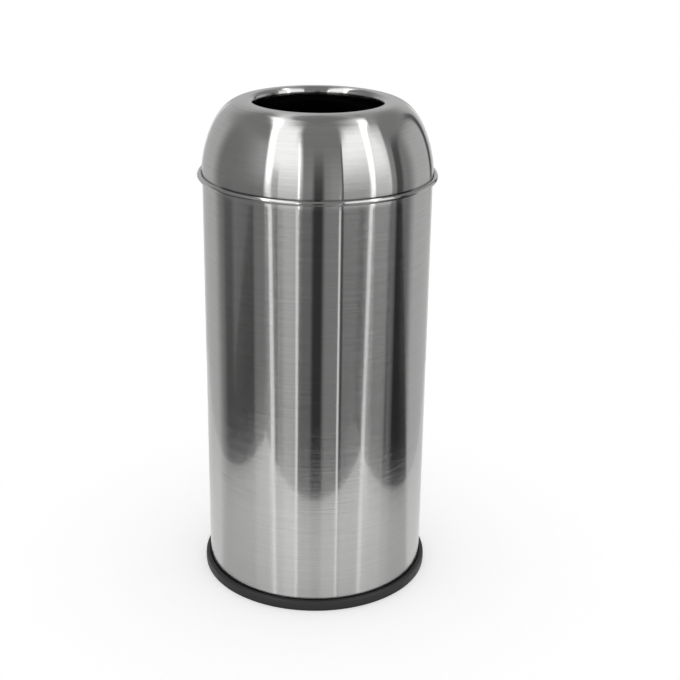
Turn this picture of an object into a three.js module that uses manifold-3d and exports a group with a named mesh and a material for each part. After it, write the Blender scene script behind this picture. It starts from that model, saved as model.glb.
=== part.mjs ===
// A dome top waste receptacle. A brushed stainless tube stands in a black base ring, and a spun dome lid with a
// round opening sits on its top edge. A black coated pail with a wire bail stands inside.
// Millimetres, +Z up. The origin is on the floor, under the centre of the tube. +Y is the back.
import * as THREE from "three";
import { mergeVertices } from "three/addons/utils/BufferGeometryUtils.js";
import Module from "manifold-3d";

const wasm = await Module();
wasm.setup();

// ---- driving dimensions -------------------------------------------------------------------------------

const facets = 48; // flats round every large turned piece
const smallFacets = 16; // flats round rivets, wire and the grip
const seatGap = 0.3; // between pieces that touch, are welded or are pressed together
const slipGap = 0.5; // between pieces that slide past each other

// Outer tube, rolled from sheet, with a folded top edge and a lapped seam at the back
const tubeRadius = 150;
const tubeSheet = 0.6;
const tubeTop = 568;
const hemDepth = 9; // how far the folded edge reaches down inside
const hemFold = 0.6; // middle radius of the fold
const seamWidth = 10;
const seamDepth = 1.2;
const seamEndClearance = 6; // from the seam's ends to the hem and to the bottom pan

// Black base ring, a channel that holds the lower edges of the tube and of the bottom pan
const ringOverhang = 6.7; // beyond the tube
const ringHeight = 14.4;
const ringWeb = 3;
const ringInnerLeg = 4;
const ringInnerHeight = 10.5;
const ringShoulder = 3.4; // radius of its outer top edge
const ringFootChamfer = 1.5;
const ringTopGroove = 1.4; // the bevel beside the tube

// Bottom pan, pressed into the tube from below
const panSheet = 0.8;
const panFlange = 12.4;
const panCorner = 2.2;
const panStepInset = 24; // from the pail's foot in to the raised middle
const panStepRise = 3;
const panStepRun = 6;

// Dome lid, spun from one sheet
const domeSheet = 0.6;
const domeStand = 1; // from the tube's top edge up to where the dome begins to round
const domeRise = 93.3; // from there to the crest
const openingRadius = 83.7;
const crestFold = 7.3; // middle radius of the fold into the opening
const throatStraight = 2.4;
const throatCurl = 1.9; // middle radius of the safe edge under the throat
const throatTurn = 225; // degrees
const beadCurl = 3; // middle radius of the rolled bead
const beadDrop = 2.8; // from the tube's top edge down to the bead's centre
const beadTurn = 310; // degrees
const domeFullness = 2.42; // exponents of the rounded outline, 2 being an ellipse
const domeShoulder = 1.6;

// Locating collar, a Z-section ring welded inside the dome, which rests on the tube's top edge
const collarSheet = 0.7;
const collarWeldLeg = 6.5;
const collarPlug = 20; // how far it reaches down inside the tube
const collarBend = 0.75;
const collarLeadIn = 4;
const collarLeadStep = 1;

// Pail
const pailSheet = 0.6;
const pailRimDrop = 34; // from the tube's top edge down to the pail's rim
const pailRimClearance = 11; // from the rim to the tube's hem
const pailTaper = 7.5; // how much narrower its foot is, on the radius
const pailBottomRise = 8;
const pailBottomCorner = 2;
const rimWireRadius = 2.2;
const rimTurn = 300; // degrees of sheet rolled round the rim wire

// Ears and their rivets
const earThickness = 1.6;
const earWidth = 24;
const earBelowRim = 30;
const earHeadRadius = 9.5;
const earHoleClearance = 0.5; // round the bail
const rivetRadius = 2;
const rivetHeadRadius = 3.8;
const rivetHeadHeight = 1.4;
const rivetSpacing = 13;
const rivetDrop = 21; // from the pail's rim down to the rivets

// Bail and its grip
const bailWireRadius = 2.5;
const bailInset = 24; // from the pail's top radius in to the grip's axis
const bailBend = 7;
const bailStraight = 14; // of each arm beyond its bend
const bailHook = 5; // radius of the turned end inside each ear
const bailPastRim = 1; // how far beyond the rim wire the arms stand
const gripLength = 90;
const gripRadius = 9;
const gripWaves = 4;
const gripWaveDepth = 0.9;
const gripBoreClearance = 0.6;
const gripEndClearance = 3; // of straight wire beyond each end of the grip

// ---- sizes that follow from them ----------------------------------------------------------------------

const rad = THREE.MathUtils.degToRad;
const flatShare = Math.cos(Math.PI / facets); // how far out a flat's middle lies, as a share of its corners
const tubeBore = tubeRadius - tubeSheet;
const tubeMiddle = tubeRadius - tubeSheet / 2;
const tubeFoot = ringWeb + seatGap;
const hemBore = tubeBore - 2 * hemFold;
const panOuter = tubeBore - seatGap;
const panRim = tubeFoot + panFlange; // the top of the pan's flat rim
const skirtMiddle = tubeRadius + slipGap + domeSheet / 2;
const domeFoot = tubeTop + domeStand;
const crestMiddle = domeFoot + domeRise - domeSheet / 2;
const throatMiddle = openingRadius + domeSheet / 2;
const crestRadius = throatMiddle + crestFold;
const rimCurl = rimWireRadius + seatGap + pailSheet / 2;
const rimRadius = hemBore - pailRimClearance - pailSheet / 2 - rimCurl;
const rimTop = tubeTop - pailRimDrop;
const rimHeight = rimTop - rimCurl - pailSheet / 2;
const pailFoot = panRim + seatGap;
const pailTopRadius = rimRadius - rimCurl;
const pailFootRadius = pailTopRadius - pailTaper;
const rivetHeight = rimTop - rivetDrop;
const earFoot = rimTop - earBelowRim;
const pivotHeight = rimTop + bailWireRadius + seatGap;
const armDistance = rimRadius + bailPastRim;
const bailReach = pailTopRadius - bailInset;

// Middle radius of the pail's tapered wall at a height.
function pailRadiusAt(z) {
  return pailFootRadius + (pailTaper * (z - pailFoot)) / (rimHeight - pailFoot);
}

// A flat ear fits inside the wall where its lower corners first meet the flats.
const earCorner = (pailRadiusAt(earFoot) - pailSheet / 2) * flatShare;
const earOuterFace = Math.sqrt(earCorner ** 2 - (earWidth / 2) ** 2) - seatGap;
const earInnerFace = earOuterFace - earThickness;

// ---- looks --------------------------------------------------------------------------------------------

const stainless = { color: 0xc4c5c6, roughness: 0.3, metalness: 1 };
const plated = { color: 0xa9adb0, roughness: 0.4, metalness: 1 };
const coated = { color: 0x1b1c1e, roughness: 0.5, metalness: 0.1 };
const rubber = { color: 0x2a2b2d, roughness: 0.7, metalness: 0 };
const plastic = { color: 0x1c1d1f, roughness: 0.5, metalness: 0 };

function mesh(name, geometry, look) {
  const made = new THREE.Mesh(geometry, new THREE.MeshStandardMaterial(look));
  made.name = name;
  return made;
}

// ---- outlines and solids ------------------------------------------------------------------------------

// Points [r, z] of an arc about a centre, from one angle to another in degrees, both ends included.
function arc(centreR, centreZ, radius, from, to, steps) {
  return Array.from({ length: steps + 1 }, (_, i) => {
    const angle = rad(from + ((to - from) * i) / steps);
    return [centreR + radius * Math.cos(angle), centreZ + radius * Math.sin(angle)];
  });
}

// The outline of a sheet of even thickness, from the middle line that it follows.
function sheetOutline(path, thickness) {
  const left = [];
  const right = [];
  path.forEach(([r, z], i) => {
    const [beforeR, beforeZ] = path[Math.max(i - 1, 0)];
    const [afterR, afterZ] = path[Math.min(i + 1, path.length - 1)];
    const along = new THREE.Vector2(afterR - beforeR, afterZ - beforeZ).setLength(thickness / 2);
    left.push([r - along.y, z + along.x]);
    right.push([r + along.y, z - along.x]);
  });
  return [...left, ...right.reverse()];
}

// Turns an outline of [r, z] points about the Z axis. It closes on itself, or on the axis where it meets it.
function turned(outline, flats = facets) {
  const points = outline.map(([r, z]) => new THREE.Vector2(r, z));
  if (THREE.ShapeUtils.area(points) < 0) points.reverse();
  const start = points.findIndex((p, i) => p.x === 0 && points[(i + 1) % points.length].x > 0);
  if (start < 0) {
    points.push(points[0].clone());
  } else {
    points.push(...points.splice(0, start));
  }
  return new THREE.LatheGeometry(points, flats).rotateX(Math.PI / 2);
}

// A closed geometry as a solid that can be cut and joined, and back again.
function solid(geometry) {
  geometry.deleteAttribute("normal");
  geometry.deleteAttribute("uv");
  const merged = mergeVertices(geometry);
  const vertProperties = merged.getAttribute("position").array;
  const triVerts = new Uint32Array(merged.index.array);
  return new wasm.Manifold(new wasm.Mesh({ numProp: 3, vertProperties, triVerts }));
}

function geometryOf(made) {
  const { vertProperties, triVerts } = made.getMesh();
  const geometry = new THREE.BufferGeometry();
  geometry.setAttribute("position", new THREE.BufferAttribute(vertProperties, 3));
  geometry.setIndex(new THREE.BufferAttribute(triVerts, 1));
  return geometry;
}

// ---- tube, bottom pan and base ring -------------------------------------------------------------------

// The lapped seam that closes the rolled sheet: an upright strip of the wall's own curve, inside the back.
function seamLap() {
  const foot = panRim + seamEndClearance;
  const top = tubeTop - hemDepth - seamEndClearance;
  const inner = tubeBore - seamDepth;
  const band = turned([
    [inner, foot],
    [tubeMiddle, foot],
    [tubeMiddle, top],
    [inner, top],
  ]);
  const strip = new THREE.BoxGeometry(seamWidth, tubeRadius, tubeTop);
  strip.translate(0, tubeRadius, tubeTop / 2);
  return solid(band).intersect(solid(strip));
}

function bodyShell() {
  const foldHeight = tubeTop - hemFold - tubeSheet / 2;
  const path = [
    [tubeMiddle, tubeFoot],
    ...arc(tubeMiddle - hemFold, foldHeight, hemFold, 0, 180, 4),
    [tubeMiddle - 2 * hemFold, tubeTop - hemDepth],
  ];
  const tube = turned(sheetOutline(path, tubeSheet));
  return geometryOf(solid(tube).add(seamLap()));
}

function bottomPan() {
  const rim = panRim - panSheet / 2;
  const flange = panOuter - panSheet / 2;
  const step = pailFootRadius - panStepInset;
  return turned(
    sheetOutline(
      [
        [0, rim + panStepRise],
        [step - panStepRun, rim + panStepRise],
        [step, rim],
        ...arc(flange - panCorner, rim - panCorner, panCorner, 90, 0, 3),
        [flange, tubeFoot],
      ],
      panSheet,
    ),
  );
}

function baseRing() {
  const outer = tubeRadius + ringOverhang;
  const slotOuter = tubeRadius + seatGap;
  const slotInner = panOuter - panSheet - seatGap;
  const inner = slotInner - ringInnerLeg;
  return turned([
    [inner, 0],
    [outer - ringFootChamfer, 0],
    [outer, ringFootChamfer],
    ...arc(outer - ringShoulder, ringHeight - ringShoulder, ringShoulder, 0, 90, 3),
    [slotOuter + ringTopGroove, ringHeight],
    [slotOuter, ringHeight - ringTopGroove],
    [slotOuter, ringWeb],
    [slotInner, ringWeb],
    [slotInner, ringInnerHeight],
    [inner, ringInnerHeight],
  ]);
}

// ---- dome lid -----------------------------------------------------------------------------------------

// Middle line of the rounded dome, a quarter of a superellipse from the skirt to the crest.
function domeArc(steps) {
  return Array.from({ length: steps + 1 }, (_, i) => {
    const angle = (Math.PI / 2) * (i / steps);
    const reach = (skirtMiddle - crestRadius) * Math.cos(angle) ** (2 / domeFullness);
    const rise = (crestMiddle - domeFoot) * Math.sin(angle) ** (2 / domeShoulder);
    return [crestRadius + reach, domeFoot + rise];
  });
}

// Middle radius of the dome at a height above its foot.
function domeRadiusAt(z) {
  const rise = ((z - domeFoot) / (crestMiddle - domeFoot)) ** domeShoulder;
  return crestRadius + (skirtMiddle - crestRadius) * (1 - rise) ** (1 / domeFullness);
}

function domeCover() {
  const foldEnd = crestMiddle - crestFold;
  const bead = arc(skirtMiddle + beadCurl, tubeTop - beadDrop, beadCurl, 180 + beadTurn, 180, 9);
  const fold = arc(crestRadius, foldEnd, crestFold, 90, 180, 3);
  const curl = arc(throatMiddle + throatCurl, foldEnd - throatStraight, throatCurl, 180, 180 + throatTurn, 5);
  return turned(sheetOutline([...bead, ...domeArc(9), ...fold.slice(1), ...curl], domeSheet));
}

function locatingCollar() {
  const web = tubeTop + seatGap + collarSheet / 2;
  const plug = hemBore - slipGap - collarSheet / 2;
  const foot = tubeTop - collarPlug;
  const top = web + collarWeldLeg;
  const weld = domeRadiusAt(top) - domeSheet / 2 - seatGap - collarSheet / 2;
  const path = [
    [weld, top],
    ...arc(weld - collarBend, web + collarBend, collarBend, 0, -90, 2),
    ...arc(plug + collarBend, web - collarBend, collarBend, 90, 180, 2),
    [plug, foot + collarLeadIn],
    [plug - collarLeadStep, foot],
  ];
  return turned(sheetOutline(path, collarSheet));
}

// ---- pail ---------------------------------------------------------------------------------------------

const sides = { right: 1, left: -1 };
const ends = { front: -1, rear: 1 };

function linerWall() {
  const path = [
    [pailFootRadius, pailFoot],
    ...arc(rimRadius, rimHeight, rimCurl, 180, 180 - rimTurn, 9),
  ];
  const holeRadius = rivetRadius + seatGap;
  const holeLength = 2 * (rimRadius + rimCurl);
  let wall = solid(turned(sheetOutline(path, pailSheet)));
  for (const end of Object.values(ends)) {
    const drill = new THREE.CylinderGeometry(holeRadius, holeRadius, holeLength, smallFacets);
    drill.rotateZ(Math.PI / 2).translate(0, (end * rivetSpacing) / 2, rivetHeight);
    wall = wall.subtract(solid(drill));
  }
  return geometryOf(wall);
}

function linerBottom() {
  const height = pailFoot + pailBottomRise - pailSheet / 2;
  const flange = pailFootRadius - pailSheet - seatGap;
  return turned(
    sheetOutline(
      [
        [0, height],
        ...arc(flange - pailBottomCorner, height - pailBottomCorner, pailBottomCorner, 90, 0, 3),
        [flange, pailFoot],
      ],
      pailSheet,
    ),
  );
}

function linerRimWire() {
  return turned(arc(rimRadius, rimHeight, rimWireRadius, 0, 360, 8).slice(1));
}

// A flat ear inside the pail, with rivet holes below the rim and the bail's hole above it.
function ear() {
  const half = earWidth / 2;
  const shape = new THREE.Shape();
  shape.moveTo(-half, earFoot);
  shape.lineTo(half, earFoot);
  shape.lineTo(half, rivetHeight + rivetHeadRadius);
  shape.absarc(0, pivotHeight, earHeadRadius, 0, Math.PI, false);
  shape.lineTo(-half, rivetHeight + rivetHeadRadius);
  const bore = (y, z, radius) => {
    shape.holes.push(new THREE.Path().absarc(y, z, radius, 0, 2 * Math.PI, true));
  };
  bore(0, pivotHeight, bailWireRadius + earHoleClearance);
  for (const end of Object.values(ends)) {
    bore((end * rivetSpacing) / 2, rivetHeight, rivetRadius + seatGap);
  }
  const options = { depth: earThickness, bevelEnabled: false, curveSegments: smallFacets / 2 };
  const plate = new THREE.ExtrudeGeometry(shape, options);
  return plate.rotateX(Math.PI / 2).rotateZ(Math.PI / 2).translate(earInnerFace, 0, 0);
}

// A rivet along +X, from its domed head inside the ear to its closed end outside the pail.
function earRivet() {
  const headInner = earInnerFace - seatGap;
  const tailOuter = pailRadiusAt(rivetHeight) + pailSheet / 2 + seatGap;
  const crown = (height, direction) =>
    [0, 30, 60, 90].map((angle) => [
      rivetHeadRadius * Math.cos(rad(angle)),
      height + direction * rivetHeadHeight * Math.sin(rad(angle)),
    ]);
  const head = crown(headInner, -1).reverse();
  const tail = crown(tailOuter, 1);
  head[0][0] = 0;
  tail.at(-1)[0] = 0;
  const shank = [
    [rivetRadius, headInner],
    [rivetRadius, tailOuter],
  ];
  return turned([...head, ...shank, ...tail], smallFacets).rotateY(Math.PI / 2);
}

// ---- bail and grip ------------------------------------------------------------------------------------

// Middle line of the right half of the bail, from its turned end inside the ear to the grip, as [x, y].
function halfBail() {
  const hookCentre = earInnerFace - bailWireRadius;
  const armEnd = bailBend + bailStraight;
  const gripEnd = gripLength / 2 + gripEndClearance;
  const sweep = arc(0, 0, 1, 0, 90, 12).map(([across, along]) => [
    gripEnd + (armDistance - gripEnd) * across,
    armEnd + (bailReach - armEnd) * along,
  ]);
  return [
    [hookCentre - bailHook, -2 * bailHook],
    ...arc(hookCentre, -bailHook, bailHook, 180, 90, 3),
    ...arc(armDistance - bailBend, bailBend, bailBend, -90, 0, 3),
    ...sweep,
  ];
}

function bailWire() {
  const half = halfBail();
  const line = new THREE.CurvePath();
  const points = [...half, ...half.toReversed().map(([x, y]) => [-x, y])];
  const places = points.map(([x, y]) => new THREE.Vector3(x, y, 0));
  places.slice(1).forEach((place, i) => line.add(new THREE.LineCurve3(places[i], place)));
  const section = new THREE.Shape().absarc(0, 0, bailWireRadius, 0, 2 * Math.PI, false);
  const steps = Math.round(line.getLength() / (2 * bailWireRadius));
  const options = { steps, extrudePath: line, bevelEnabled: false, curveSegments: smallFacets / 4 };
  return new THREE.ExtrudeGeometry(section, options).translate(0, 0, pivotHeight);
}

function handleGrip() {
  const half = gripLength / 2;
  const bore = bailWireRadius + gripBoreClearance;
  const rows = 4 * gripWaves;
  const swell = Array.from({ length: rows + 1 }, (_, i) => {
    const wave = (1 + Math.cos((2 * Math.PI * gripWaves * i) / rows)) / 2;
    return [gripRadius - gripWaveDepth * wave, half * ((2 * i) / rows - 1)];
  });
  const grip = turned([[bore, -half], ...swell, [bore, half]], smallFacets);
  return grip.rotateY(Math.PI / 2).translate(0, bailReach, pivotHeight);
}

// ---- the assembly -------------------------------------------------------------------------------------

const shell = new THREE.Group();
shell.add(mesh("body_shell", bodyShell(), stainless));
shell.add(mesh("bottom_pan", bottomPan(), plated));
shell.add(mesh("base_ring", baseRing(), rubber));

const lid = new THREE.Group();
lid.add(mesh("dome_cover", domeCover(), stainless));
lid.add(mesh("locating_collar", locatingCollar(), plated));

const pail = new THREE.Group();
pail.add(mesh("liner_wall", linerWall(), coated));
pail.add(mesh("liner_bottom", linerBottom(), coated));
pail.add(mesh("liner_rim_wire", linerRimWire(), plated));
for (const [side, direction] of Object.entries(sides)) {
  const fittings = new THREE.Group();
  fittings.add(mesh(`ear_${side}`, ear(), coated));
  for (const [end, offset] of Object.entries(ends)) {
    const rivet = mesh(`ear_rivet_${side}_${end}`, earRivet(), plated);
    rivet.position.set(0, (direction * offset * rivetSpacing) / 2, rivetHeight);
    fittings.add(rivet);
  }
  fittings.rotation.z = direction > 0 ? 0 : Math.PI;
  pail.add(fittings);
}

const bail = new THREE.Group();
bail.add(mesh("bail_wire", bailWire(), plated));
bail.add(mesh("handle_grip", handleGrip(), plastic));

const receptacle = new THREE.Group();
receptacle.add(shell, lid, pail, bail);

export default receptacle;
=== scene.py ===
"""Looks of a dome top waste receptacle: a brushed stainless tube and spun dome on a black base ring, with
a black coated pail and its wire bail inside. Lengths are metres, +Z is up and the camera looks along +Y."""
import math

import bmesh
import bpy
import numpy as np
from mathutils import Matrix, Vector
from mathutils.geometry import tessellate_polygon


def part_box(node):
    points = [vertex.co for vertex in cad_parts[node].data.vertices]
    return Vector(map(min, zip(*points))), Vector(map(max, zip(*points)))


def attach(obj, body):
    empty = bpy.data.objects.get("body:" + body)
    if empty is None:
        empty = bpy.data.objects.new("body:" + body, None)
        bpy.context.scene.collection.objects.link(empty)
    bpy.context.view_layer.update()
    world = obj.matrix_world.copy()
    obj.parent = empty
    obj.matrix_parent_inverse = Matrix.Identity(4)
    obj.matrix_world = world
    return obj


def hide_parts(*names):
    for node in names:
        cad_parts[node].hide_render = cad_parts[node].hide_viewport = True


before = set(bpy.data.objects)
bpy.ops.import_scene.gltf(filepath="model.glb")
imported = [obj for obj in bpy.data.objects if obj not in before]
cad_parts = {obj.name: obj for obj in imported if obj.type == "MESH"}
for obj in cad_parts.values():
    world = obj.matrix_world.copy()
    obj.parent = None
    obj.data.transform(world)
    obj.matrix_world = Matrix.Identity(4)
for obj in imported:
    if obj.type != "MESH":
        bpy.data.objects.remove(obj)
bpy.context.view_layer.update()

MM = 0.001

# ---- sizes, from the frame where it has them ----------------------------------------------------------

GAP = 0.3 * MM  # between pieces that touch
SLIP = 0.5 * MM  # between pieces that slide past each other
COLUMNS = 256  # round a large turned piece

tube_low, tube_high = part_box("body_shell")
ring_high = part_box("base_ring")[1]
pan_low, pan_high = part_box("bottom_pan")
dome_low, dome_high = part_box("dome_cover")
collar_low, collar_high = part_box("locating_collar")
liner_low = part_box("liner_wall")[0]
floor_low, floor_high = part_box("liner_bottom")
rim_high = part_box("liner_rim_wire")[1]
bail_low, bail_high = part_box("bail_wire")
grip_low, grip_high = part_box("handle_grip")
ear_low, ear_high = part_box("ear_right")
rivet_low, rivet_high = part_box("ear_rivet_right_rear")

# the rest repeats the CAD source, which this script cannot read

TUBE_SHEET = 0.6 * MM
TUBE_RADIUS = tube_high.x
TUBE_TOP = tube_high.z
HEM_FOLD = 0.6 * MM
HEM_DEPTH = 9 * MM
HEM_BORE = TUBE_RADIUS - TUBE_SHEET - 2 * HEM_FOLD
SEAM_GROOVE = 0.3 * MM
SEAM_HALF_WIDTH = 0.7 * MM

DOME_SHEET = 0.6 * MM
BEAD_TURN = 310  # degrees, as are the other turns
CREST_FOLD = 7.3 * MM
OPENING_RADIUS = 83.7 * MM
THROAT_STRAIGHT = 2.4 * MM
THROAT_CURL = 1.9 * MM
THROAT_TURN = 225
DOME_STAND = 1 * MM
DOME_FULLNESS = 2.42
DOME_SHOULDER = 1.6
DOME_POINTS = 97  # from its foot to its crest

COLLAR_SHEET = 0.7 * MM
COLLAR_BEND = 0.75 * MM
COLLAR_LEAD_IN = 4 * MM
COLLAR_LEAD_STEP = 1 * MM
WELDS = 16
WELD_RADIUS = 1.8 * MM
WELD_DEPTH = 0.25 * MM

RING_WEB = 3 * MM
RING_INNER_LEG = 4 * MM
RING_INNER_HEIGHT = 10.5 * MM
RING_SHOULDER = 3.4 * MM
RING_FOOT = 1.5 * MM
RING_GROOVE = 1.4 * MM
RING_FULLNESS = 0.35 * MM  # of its outer face
RING_CORNER = 1 * MM

PAN_SHEET = 0.8 * MM
PAN_FLANGE = 12.4 * MM
PAN_CORNER = 2.2 * MM
PAN_STEP_RISE = 3 * MM
PAN_STEP_RUN = 6 * MM
PAN_STEP_INSET = 24 * MM

PAIL_SHEET = 0.6 * MM
PAIL_TAPER = 7.5 * MM
PAIL_CORNER = 2 * MM
RIM_WIRE_RADIUS = 2.2 * MM
RIM_TURN = 300
RIB_PLACES = (0.12, 0.8)  # as shares of the pail's height
RIB_DEPTH = 1.2 * MM
RIB_HALF_HEIGHT = 3.5 * MM

EAR_HEAD_RADIUS = 9.5 * MM
EAR_HOLE = 3 * MM
EAR_CORNER = 2.5 * MM
EAR_EDGE = 0.3 * MM
RIVET_HOLE = 2.3 * MM
RIVET_RADIUS = 2 * MM
RIVET_HEAD_HEIGHT = 1.4 * MM
BAIL_BEND = 7 * MM
BAIL_STRAIGHT = 14 * MM
GRIP_WAVES = 4
GRIP_WAVE_DEPTH = 0.9 * MM
GRIP_BORE_CLEARANCE = 0.6 * MM
GRIP_END_CLEARANCE = 3 * MM
GRIP_EDGE = 1.6 * MM
GRIP_FLUTES = 28
GRIP_FLUTE_DEPTH = 0.35 * MM

# ---- outlines, as arrays of [r, z] --------------------------------------------------------------------


def arc(centre_r, centre_z, radius, start, end, steps):
    """Circle about a centre: r = centre + radius cos(angle), z = centre + radius sin(angle), in degrees."""
    angle = np.radians(np.linspace(start, end, steps + 1))
    return np.stack([centre_r + radius * np.cos(angle), centre_z + radius * np.sin(angle)], axis=1)


def line(start, end, steps):
    """Straight stretch: start + (end - start) t, for t from 0 to 1."""
    share = np.linspace(0, 1, steps + 1)[:, None]
    return np.array(start) + (np.array(end) - np.array(start)) * share


def without_repeats(path):
    """The path with points closer than a thousandth of a millimetre to the one before left out."""
    step = np.linalg.norm(np.diff(path, axis=0), axis=1)
    return path[np.concatenate([[True], step > 0.001 * MM])]


def sheet(path, thickness):
    """Closed outline of a sheet: its middle line moved half the thickness to each side, along its normal."""
    path = without_repeats(path)
    along = np.gradient(path, axis=0)
    along /= np.linalg.norm(along, axis=1)[:, None]
    normal = np.stack([-along[:, 1], along[:, 0]], axis=1)
    return np.concatenate([path + normal * thickness / 2, (path - normal * thickness / 2)[::-1]])


# ---- meshes -------------------------------------------------------------------------------------------


def finished(name, mesh, material, body, *nodes):
    """Gives a mesh its object, finish and body, and lets it stand for the CAD nodes that it redraws."""
    mesh.set_sharp_from_angle(angle=math.radians(40))
    mesh.materials.append(material)
    piece = bpy.data.objects.new(name, mesh)
    bpy.context.scene.collection.objects.link(piece)
    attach(piece, body)
    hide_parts(*nodes)


def grid_mesh(name, points, across, around, wrap_rows, wrap_columns):
    """Quads between neighbours of a grid of points. Its UV map holds u = around and v = across."""
    rows, columns = points.shape[:2]
    i = np.arange(rows if wrap_rows else rows - 1)[:, None]
    j = np.arange(columns if wrap_columns else columns - 1)[None, :]
    next_i = (i + 1) % rows
    next_j = (j + 1) % columns
    corners = [i * columns + j, next_i * columns + j, next_i * columns + next_j, i * columns + next_j]
    faces = np.stack(corners, axis=-1).reshape(-1, 4)
    u = np.stack([around[j], around[j], around[j + 1], around[j + 1]], axis=-1)
    v = np.stack([across[i], across[i + 1], across[i + 1], across[i]], axis=-1)
    shape = np.broadcast_shapes(u.shape, v.shape)
    uv = np.stack([np.broadcast_to(u, shape), np.broadcast_to(v, shape)], axis=-1)
    mesh = bpy.data.meshes.new(name)
    mesh.vertices.add(rows * columns)
    mesh.vertices.foreach_set("co", points.reshape(-1).astype(np.float32))
    mesh.loops.add(faces.size)
    mesh.loops.foreach_set("vertex_index", faces.reshape(-1).astype(np.int32))
    mesh.polygons.add(len(faces))
    mesh.polygons.foreach_set("loop_start", np.arange(0, faces.size, 4, dtype=np.int32))
    mesh.polygons.foreach_set("use_smooth", np.ones(len(faces), dtype=bool))
    layer = mesh.uv_layers.new(name="sheet")
    layer.data.foreach_set("uv", uv.reshape(-1).astype(np.float32))
    mesh.update(calc_edges=True)
    return mesh


def merged(mesh):
    """Joins points that coincide, as at a pole, and drops the faces that this leaves without area."""
    work = bmesh.new()
    work.from_mesh(mesh)
    bmesh.ops.remove_doubles(work, verts=work.verts, dist=0.0001 * MM)
    work.to_mesh(mesh)
    work.free()
    return mesh


def turned(name, outline, turns=None, inset=None):
    """Surface of revolution: x = r sin(turn), y = r cos(turn), starting at the back. Where there is an
    inset, r is first made less by inset(r, z, turn)."""
    next_r, next_z = np.roll(outline, -1, axis=0).T
    if np.sum(outline[:, 0] * next_z - next_r * outline[:, 1]) < 0:
        outline = outline[::-1]
    turns = np.linspace(0, 2 * np.pi, COLUMNS + 1) if turns is None else turns
    turn = turns[None, :-1]
    reach = np.broadcast_to(outline[:, :1], (len(outline), turn.size))
    if inset:
        reach = reach - inset(outline[:, :1], outline[:, 1:], turn)
    height = np.broadcast_to(outline[:, 1:], reach.shape)
    points = np.stack([reach * np.sin(turn), reach * np.cos(turn), height], axis=-1)
    closed = np.concatenate([outline, outline[:1]])
    across = np.concatenate([[0], np.cumsum(np.linalg.norm(np.diff(closed, axis=0), axis=1))])
    return merged(grid_mesh(name, points, across, turns / (2 * np.pi), True, True))


def seam_turns():
    """Turns all round, closer together over a seam at the back."""
    near = np.linspace(-3, 3, 25) * SEAM_HALF_WIDTH / TUBE_RADIUS
    far = np.linspace(near[-1], 2 * np.pi + near[0], COLUMNS)
    return np.concatenate([near[:-1], far])


def seam_groove(radius, height, turn):
    """A closed seam at the back: depth exp(-(distance round the piece / half width)^2)."""
    distance = radius * np.minimum(np.abs(turn), np.abs(turn - 2 * np.pi))
    return SEAM_GROOVE * np.exp(-(distance / SEAM_HALF_WIDTH) ** 2)


# ---- colours and nodes --------------------------------------------------------------------------------


def linear(hex_colour):
    """An sRGB hex colour as linear red, green, blue and an alpha of 1."""
    srgb = [int(hex_colour[i:i + 2], 16) / 255 for i in (1, 3, 5)]
    return [c / 12.92 if c <= 0.04045 else ((c + 0.055) / 1.055) ** 2.4 for c in srgb] + [1]


def add_node(tree, kind, inputs=None, **settings):
    """Adds a node, sets it up, and fills each named input with a value or with a link from a socket."""
    made = tree.nodes.new(kind)
    for key, value in settings.items():
        setattr(made, key, value)
    for key, value in (inputs or {}).items():
        if isinstance(value, bpy.types.NodeSocket):
            tree.links.new(value, made.inputs[key])
        else:
            made.inputs[key].default_value = value
    return made


def new_material(name):
    """An empty node material and its tree."""
    material = bpy.data.materials.new(name)
    material.use_nodes = True
    material.node_tree.nodes.clear()
    return material, material.node_tree


def output(tree, shader):
    """Ends a material's tree."""
    add_node(tree, "ShaderNodeOutputMaterial", {"Surface": shader.outputs[0]})


# ---- materials ----------------------------------------------------------------------------------------

NOISE_LOW, NOISE_HIGH = 0.3, 0.7  # between which most of a noise texture lies
SCRATCH_BAND = 1.6 * MM
POLISHED = 0.05  # share of the noise, to each side of its middle, that leaves the polish as it is
ZINC_CLOUD = 8 * MM
BLOOM = 30 * MM


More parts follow.
